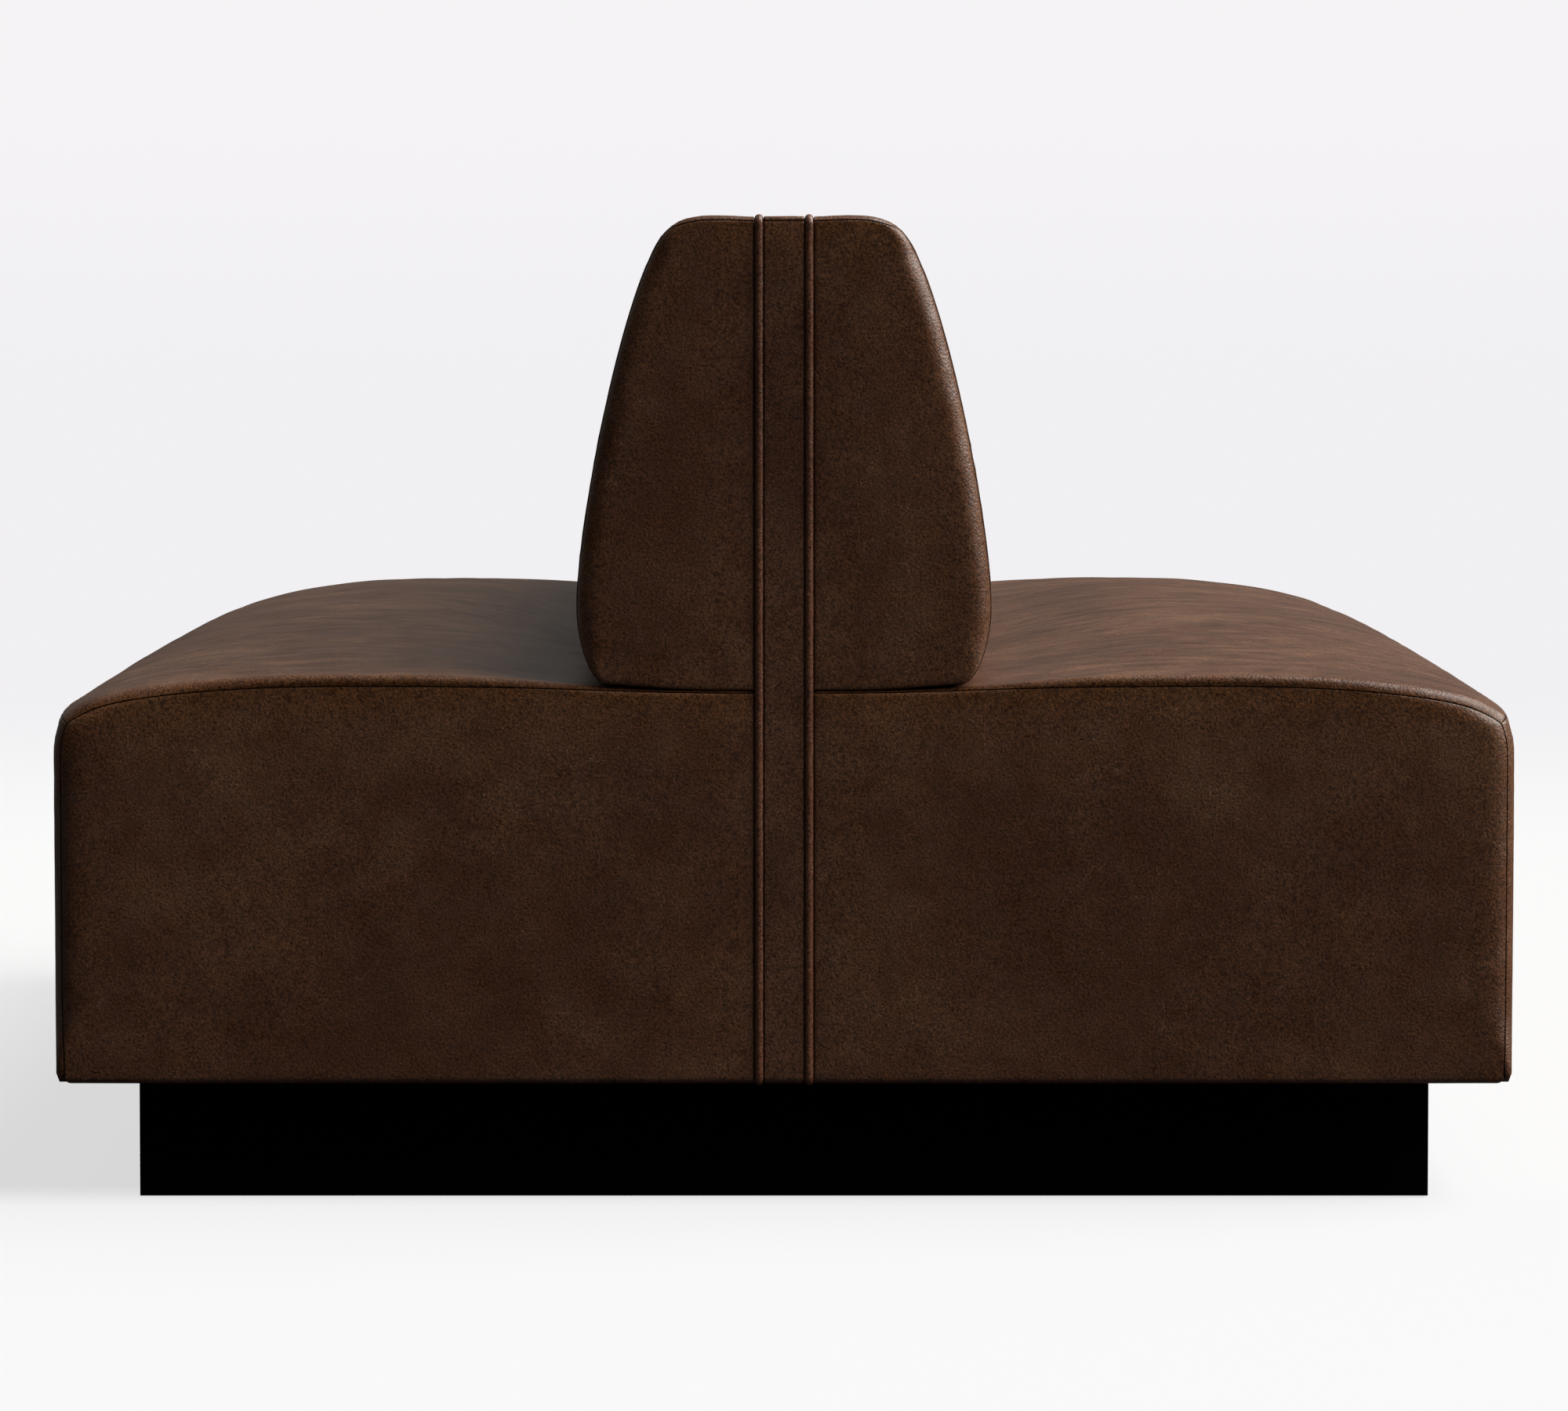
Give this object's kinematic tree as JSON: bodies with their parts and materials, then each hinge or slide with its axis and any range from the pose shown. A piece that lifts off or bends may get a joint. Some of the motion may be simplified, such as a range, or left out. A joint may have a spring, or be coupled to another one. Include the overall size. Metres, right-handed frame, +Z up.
{
  "type": "double-sided banquette bench",
  "caption": "Long free-standing bench with a crowned leather seat on both sides of a tapered central backrest, on a recessed plinth.",
  "frame": {"origin": "on the floor, under the centre of the bench", "axes": "+Z up, +Y along the bench's length, +X across it, from one seat to the other"},
  "size_m": [1.276, 2.1336, 0.8662],
  "materials": {
    "hide": "waxed pull-up hide",
    "strip_hide": "waxed pull-up hide",
    "welt_hide": "waxed pull-up hide",
    "plinth_laminate": "black laminate on plywood",
    "plywood": "sanded birch plywood",
    "timber": "planed beech",
    "foam": "open-cell upholstery foam",
    "padding": "needled wadding",
    "webbing": "woven elastic webbing",
    "hessian": "plain-woven hessian",
    "dust_cover": "spun-bonded cloth",
    "welt_cord": "twisted cotton piping cord",
    "nylon": "moulded nylon",
    "steel": "zinc-plated"
  },
  "bodies": {
    "root": {"plinth_side_left": "plinth_laminate", "plinth_side_right": "plinth_laminate", "plinth_end_a": "plinth_laminate", "plinth_end_b": "plinth_laminate", "plinth_cross_rails": "plinth_laminate", "plinth_corner_blocks": "timber", "plinth_glides": "nylon", "base_rail_left": "timber", "base_rail_right": "timber", "base_cross_rails": "timber", "dust_cover": "dust_cover", "seat_side_board_left": "plywood", "seat_side_board_right": "plywood", "seat_end_board_a": "plywood", "seat_end_board_b": "plywood", "seat_partitions": "plywood", "centre_beam_left": "timber", "centre_beam_right": "timber", "seat_front_rails": "timber", "seat_back_rails": "timber", "seat_webbing": "webbing", "seat_hessian": "hessian", "seat_foam_left": "foam", "seat_foam_right": "foam", "side_pad_left": "padding", "side_pad_right": "padding", "seat_end_pad_a": "padding", "seat_end_pad_b": "padding", "back_base_board": "plywood", "back_ribs": "plywood", "back_end_board_a": "plywood", "back_end_board_b": "plywood", "back_lower_rails": "timber", "back_upper_rails": "timber", "back_cap_board": "plywood", "back_webbing": "webbing", "back_foam_left": "foam", "back_foam_right": "foam", "back_end_pads": "padding", "top_filler": "foam", "seat_leather_left": "hide", "seat_leather_right": "hide", "side_leather_left": "hide", "side_leather_right": "hide", "seat_end_leather_a_left": "hide", "seat_end_leather_a_right": "hide", "seat_end_leather_b_left": "hide", "seat_end_leather_b_right": "hide", "back_leather_left": "hide", "back_leather_right": "hide", "back_end_leather_a_left": "hide", "back_end_leather_a_right": "hide", "back_end_leather_b_left": "hide", "back_end_leather_b_right": "hide", "strip_leather": "strip_hide", "welt_left": "welt_hide", "welt_right": "welt_hide", "welt_cords": "welt_cord", "coach_screws": "steel", "frame_screws": "steel"}
  },
  "joints": []
}
